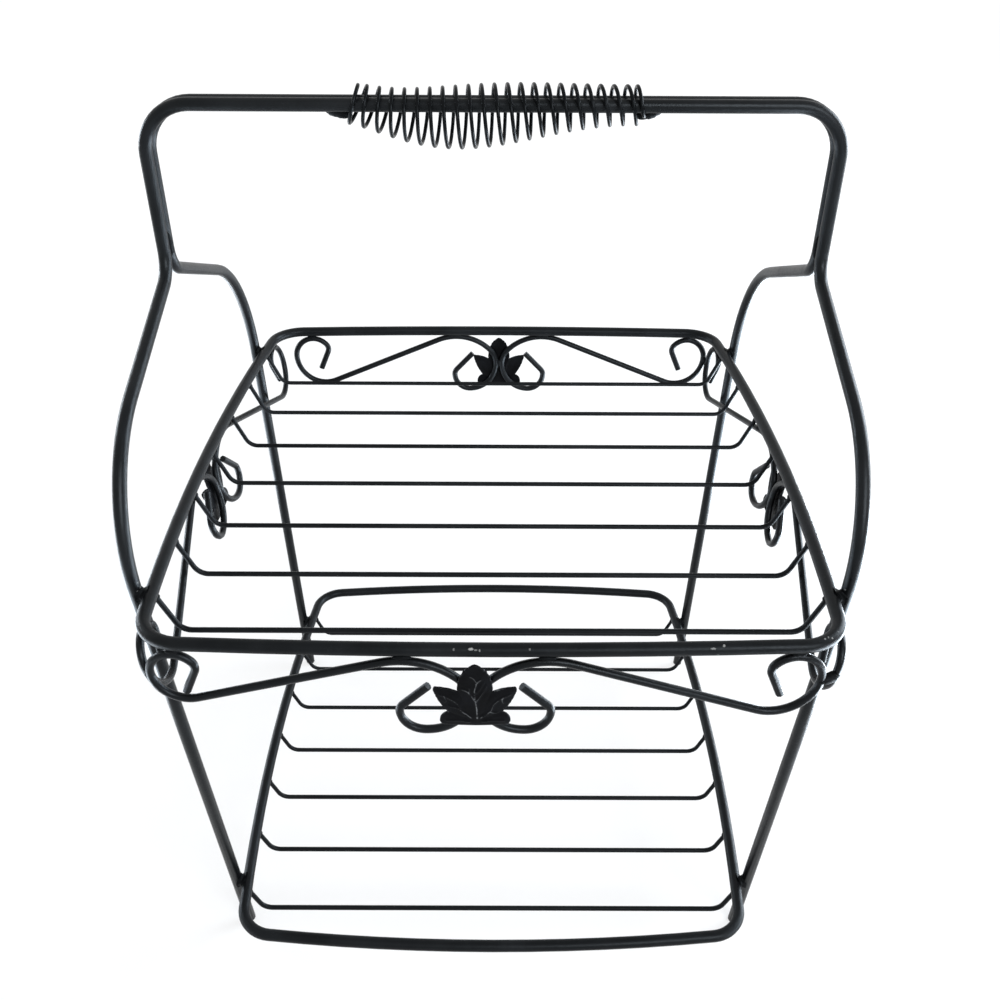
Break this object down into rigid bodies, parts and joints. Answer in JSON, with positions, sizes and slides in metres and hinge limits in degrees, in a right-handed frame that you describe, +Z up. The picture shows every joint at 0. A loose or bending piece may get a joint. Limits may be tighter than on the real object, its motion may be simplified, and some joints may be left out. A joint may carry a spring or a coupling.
{
  "type": "tiered wire basket",
  "caption": "Two-tier black wire basket with bowed rims, wire floors, scrolled leaf trim and a carrying handle with a coiled grip.",
  "frame": {"origin": "middle of the footprint on the surface that it stands on", "axes": "+Z up, +X to the right along the handle, -Y towards the front"},
  "size_m": [0.2608, 0.2716, 0.3588],
  "materials": {
    "rod_black": "satin black paint, lightly textured",
    "grid_black": "satin black paint on thin wire",
    "scroll_black": "satin black paint on bent wire",
    "leaf_black": "satin black paint, worn along the veins",
    "coil_black": "satin black paint on spring wire"
  },
  "bodies": {
    "root": {"front_frame": "rod_black", "rear_frame": "rod_black", "upper_rim": "rod_black", "lower_rim": "rod_black", "upper_grid_1": "grid_black", "upper_grid_2": "grid_black", "upper_grid_3": "grid_black", "upper_grid_4": "grid_black", "upper_grid_5": "grid_black", "upper_grid_6": "grid_black", "upper_grid_7": "grid_black", "lower_grid_1": "grid_black", "lower_grid_2": "grid_black", "lower_grid_3": "grid_black", "lower_grid_4": "grid_black", "lower_grid_5": "grid_black", "lower_grid_6": "grid_black", "lower_grid_7": "grid_black", "scroll_front_1": "scroll_black", "scroll_front_2": "scroll_black", "scroll_rear_1": "scroll_black", "scroll_rear_2": "scroll_black", "scroll_left_1": "scroll_black", "scroll_left_2": "scroll_black", "scroll_right_1": "scroll_black", "scroll_right_2": "scroll_black", "leaf_front": "leaf_black", "leaf_rear": "leaf_black", "leaf_left": "leaf_black", "leaf_right": "leaf_black", "coil_grip": "coil_black"}
  },
  "joints": []
}
